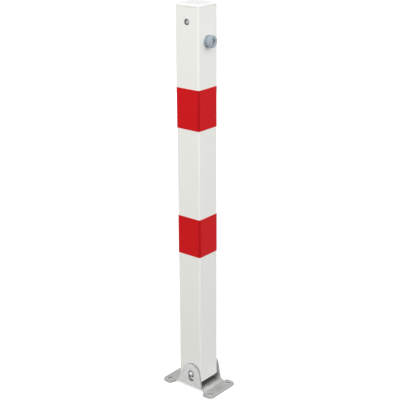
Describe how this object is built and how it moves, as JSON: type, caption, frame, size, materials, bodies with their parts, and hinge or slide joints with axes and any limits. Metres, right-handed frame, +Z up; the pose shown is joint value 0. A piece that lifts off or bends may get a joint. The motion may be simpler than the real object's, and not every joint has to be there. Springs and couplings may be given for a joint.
{
  "type": "fold-down bollard",
  "caption": "Square steel post with reflective bands, hinged between two ears of a bolt-down base, with a keyed lock near the top.",
  "frame": {"origin": "middle of the base plate, on the ground", "axes": "+Z up along the post, -Y the side with the lock, towards which the post folds, X along the hinge pin"},
  "size_m": [0.105, 0.166, 1],
  "materials": {
    "galvanised_steel": "hot-dip galvanised",
    "white_powder_coat": "semi-gloss white powder coat",
    "white_cap_plastic": "satin moulded",
    "red_reflective_film": "reflective film",
    "grey_lock_plastic": "satin moulded",
    "black_nylon": "moulded nylon",
    "black_rubber": "matt",
    "grey_rubber": "matt",
    "zinc_plated_steel": "bright zinc plated",
    "lock_brass": "turned brass"
  },
  "bodies": {
    "base": {"base_plate": "galvanised_steel"},
    "pivot": {"slider_bush_left": "black_nylon", "slider_bush_right": "black_nylon"},
    "post": {"post_tube": "white_powder_coat", "pivot_pin": "zinc_plated_steel", "pivot_sleeve": "zinc_plated_steel", "top_cap": "white_cap_plastic", "cap_screw": "zinc_plated_steel", "cap_screw_seal": "grey_rubber", "band_upper": "red_reflective_film", "band_lower": "red_reflective_film", "lock_housing": "grey_lock_plastic", "lock_gasket": "black_rubber", "lock_barrel": "lock_brass", "lock_washer": "zinc_plated_steel", "barrel_nut": "zinc_plated_steel", "guide_upper": "black_nylon", "guide_lower": "black_nylon"},
    "key": {"key_plug": "zinc_plated_steel", "lock_cam": "zinc_plated_steel", "cam_stud": "zinc_plated_steel", "cam_screw": "zinc_plated_steel"},
    "rod": {"lock_rod": "zinc_plated_steel", "lock_bolt": "zinc_plated_steel", "bolt_pin": "zinc_plated_steel"}
  },
  "joints": [
    {"name": "post_lift", "type": "slide", "parent": "base", "child": "pivot", "axis": [0, 0, 1], "range_m": [-0.004, 0]},
    {"name": "post_fold", "type": "hinge", "parent": "pivot", "child": "post", "pos_m": [0, -0.008, 0.046], "axis": [1, 0, 0], "range_deg": [0, 90]},
    {"name": "key_turn", "type": "hinge", "parent": "post", "child": "key", "pos_m": [0, -0.047, 0.913], "axis": [0, 1, 0], "range_deg": [0, 90]},
    {"name": "rod_slide", "type": "slide", "parent": "post", "child": "rod", "axis": [0, 0, -1], "range_m": [0, 0.0226]}
  ],
  "couplings": [
    {"joint": "key_turn", "follows": "rod_slide", "rad_per_m": 69.42}
  ]
}
